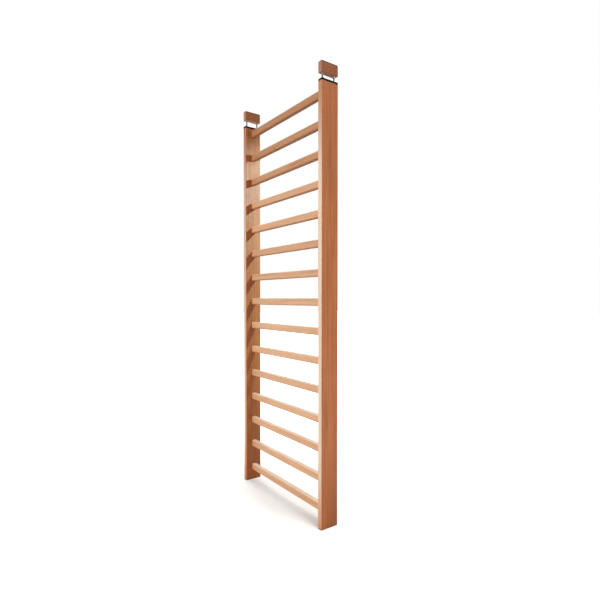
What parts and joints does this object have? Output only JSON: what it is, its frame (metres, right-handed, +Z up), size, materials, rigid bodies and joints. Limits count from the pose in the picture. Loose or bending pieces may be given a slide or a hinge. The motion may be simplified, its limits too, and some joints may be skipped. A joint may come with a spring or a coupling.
{
  "type": "swedish wall bars",
  "caption": "Wooden climbing bars between two flat uprights, clamped between floor and ceiling by screw jacks that press a wooden block up from the top of each upright.",
  "frame": {"origin": "on the floor, midway between the uprights and midway through their depth", "axes": "+Z up, +X from the left to the right upright seen from the front, +Y from front to back"},
  "size_m": [0.8, 0.105, 2.3452],
  "materials": {
    "upright_wood": "satin oiled red-brown hardwood",
    "rung_wood": "satin oiled light hardwood",
    "black_steel": "satin black paint",
    "zinc_steel": "bright zinc plating",
    "brass": "plain turned brass",
    "rubber": "matt dark rubber"
  },
  "bodies": {
    "frame": {"upright_left": "upright_wood", "upright_right": "upright_wood", "rung_01": "rung_wood", "rung_02": "rung_wood", "rung_03": "rung_wood", "rung_04": "rung_wood", "rung_05": "rung_wood", "rung_06": "rung_wood", "rung_07": "rung_wood", "rung_08": "rung_wood", "rung_09": "rung_wood", "rung_10": "rung_wood", "rung_11": "rung_wood", "rung_12": "rung_wood", "rung_13": "rung_wood", "rung_14": "rung_wood", "rung_15": "rung_wood", "foot_pad_left": "rubber", "foot_pad_right": "rubber", "top_plate_left": "black_steel", "top_plate_right": "black_steel", "plate_screw_left_front": "zinc_steel", "plate_screw_left_back": "zinc_steel", "plate_screw_right_front": "zinc_steel", "plate_screw_right_back": "zinc_steel", "threaded_insert_left_front": "brass", "threaded_insert_left_back": "brass", "threaded_insert_right_front": "brass", "threaded_insert_right_back": "brass", "threaded_rod_left_front": "zinc_steel", "threaded_rod_left_back": "zinc_steel", "threaded_rod_right_front": "zinc_steel", "threaded_rod_right_back": "zinc_steel"},
    "left_block": {"ceiling_block_left": "upright_wood", "ceiling_pad_left": "rubber", "jack_washer_left_front": "zinc_steel", "jack_washer_left_back": "zinc_steel"},
    "left_front_nut": {"jack_nut_left_front": "zinc_steel"},
    "left_back_nut": {"jack_nut_left_back": "zinc_steel"},
    "right_block": {"ceiling_block_right": "upright_wood", "ceiling_pad_right": "rubber", "jack_washer_right_front": "zinc_steel", "jack_washer_right_back": "zinc_steel"},
    "right_front_nut": {"jack_nut_right_front": "zinc_steel"},
    "right_back_nut": {"jack_nut_right_back": "zinc_steel"}
  },
  "joints": [
    {"name": "left_block_lift", "type": "slide", "parent": "frame", "child": "left_block", "axis": [0, 0, 1], "range_m": [-0.025, 0.01125]},
    {"name": "left_front_nut_turn", "type": "hinge", "parent": "left_block", "child": "left_front_nut", "pos_m": [-0.385, -0.0365, 2.28505], "axis": [0, 0, 1], "range_deg": [-7200, 3240]},
    {"name": "left_back_nut_turn", "type": "hinge", "parent": "left_block", "child": "left_back_nut", "pos_m": [-0.385, 0.0365, 2.28505], "axis": [0, 0, 1], "range_deg": [-7200, 3240]},
    {"name": "right_block_lift", "type": "slide", "parent": "frame", "child": "right_block", "axis": [0, 0, 1], "range_m": [-0.0175, 0.01875]},
    {"name": "right_front_nut_turn", "type": "hinge", "parent": "right_block", "child": "right_front_nut", "pos_m": [0.385, -0.0365, 2.27705], "axis": [0, 0, 1], "range_deg": [-5040, 5400]},
    {"name": "right_back_nut_turn", "type": "hinge", "parent": "right_block", "child": "right_back_nut", "pos_m": [0.385, 0.0365, 2.27705], "axis": [0, 0, 1], "range_deg": [-5040, 5400]}
  ],
  "couplings": [
    {"joint": "left_front_nut_turn", "follows": "left_block_lift", "rad_per_m": 5026.5},
    {"joint": "left_back_nut_turn", "follows": "left_block_lift", "rad_per_m": 5026.5},
    {"joint": "right_front_nut_turn", "follows": "right_block_lift", "rad_per_m": 5026.5},
    {"joint": "right_back_nut_turn", "follows": "right_block_lift", "rad_per_m": 5026.5}
  ]
}
